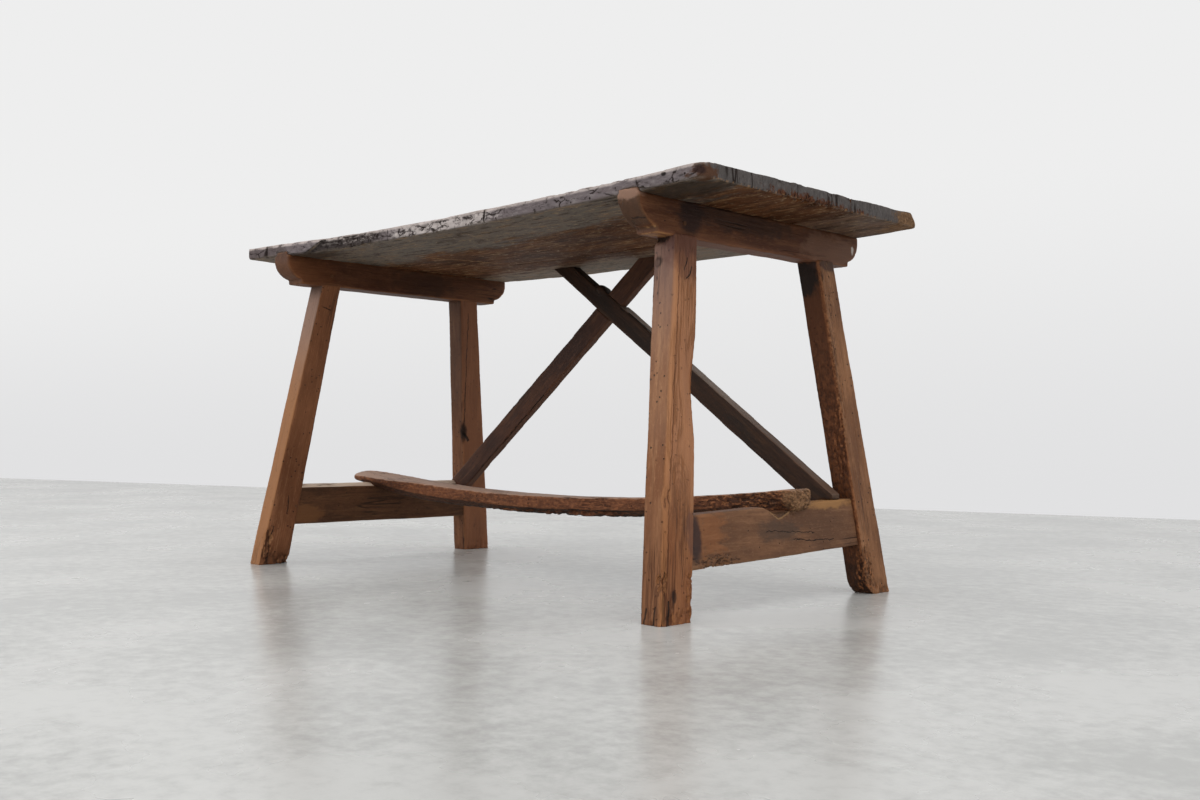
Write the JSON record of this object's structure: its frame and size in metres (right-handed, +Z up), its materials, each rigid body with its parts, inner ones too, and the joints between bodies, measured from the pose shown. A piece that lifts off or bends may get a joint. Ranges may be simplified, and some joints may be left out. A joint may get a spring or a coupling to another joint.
{
  "type": "trestle table",
  "caption": "Rustic wooden trestle table with a bowed plank top, dovetailed cleats, splayed legs, end stretchers, crossed braces and a bowed foot rail.",
  "frame": {"origin": "on the floor under the middle of the tabletop", "axes": "+X along the table to its right end, the near end in the picture; +Y to the back long side, where the crossed braces stand; +Z up"},
  "size_m": [1.462, 0.705, 0.7699],
  "materials": {
    "top_wood": "worn, oiled, grey-brown patina",
    "cleat_wood": "waxed, red-brown",
    "leg_wood": "waxed, mid-brown, orange on the worn arrises",
    "stretcher_wood": "waxed, mid-brown with dark stains",
    "brace_wood": "dark brown, dry",
    "rail_wood": "foot-worn, red-brown, worm-eaten ends",
    "peg_wood": "dark, flush"
  },
  "bodies": {
    "root": {"top_front_board": "top_wood", "top_back_board": "top_wood", "top_joint_dowels": "peg_wood", "left_cleat": "cleat_wood", "right_cleat": "cleat_wood", "left_front_leg": "leg_wood", "left_back_leg": "leg_wood", "right_front_leg": "leg_wood", "right_back_leg": "leg_wood", "left_stretcher": "stretcher_wood", "right_stretcher": "stretcher_wood", "left_brace": "brace_wood", "right_brace": "brace_wood", "foot_rail": "rail_wood", "cross_peg": "peg_wood", "left_front_leg_peg": "peg_wood", "left_front_stretcher_peg": "peg_wood", "left_back_leg_peg": "peg_wood", "left_back_stretcher_peg": "peg_wood", "left_brace_foot_dowel": "peg_wood", "left_brace_top_dowel": "peg_wood", "left_rail_peg": "peg_wood", "right_front_leg_peg": "peg_wood", "right_front_stretcher_peg": "peg_wood", "right_back_leg_peg": "peg_wood", "right_back_stretcher_peg": "peg_wood", "right_brace_foot_dowel": "peg_wood", "right_brace_top_dowel": "peg_wood", "right_rail_peg": "peg_wood"}
  },
  "joints": []
}
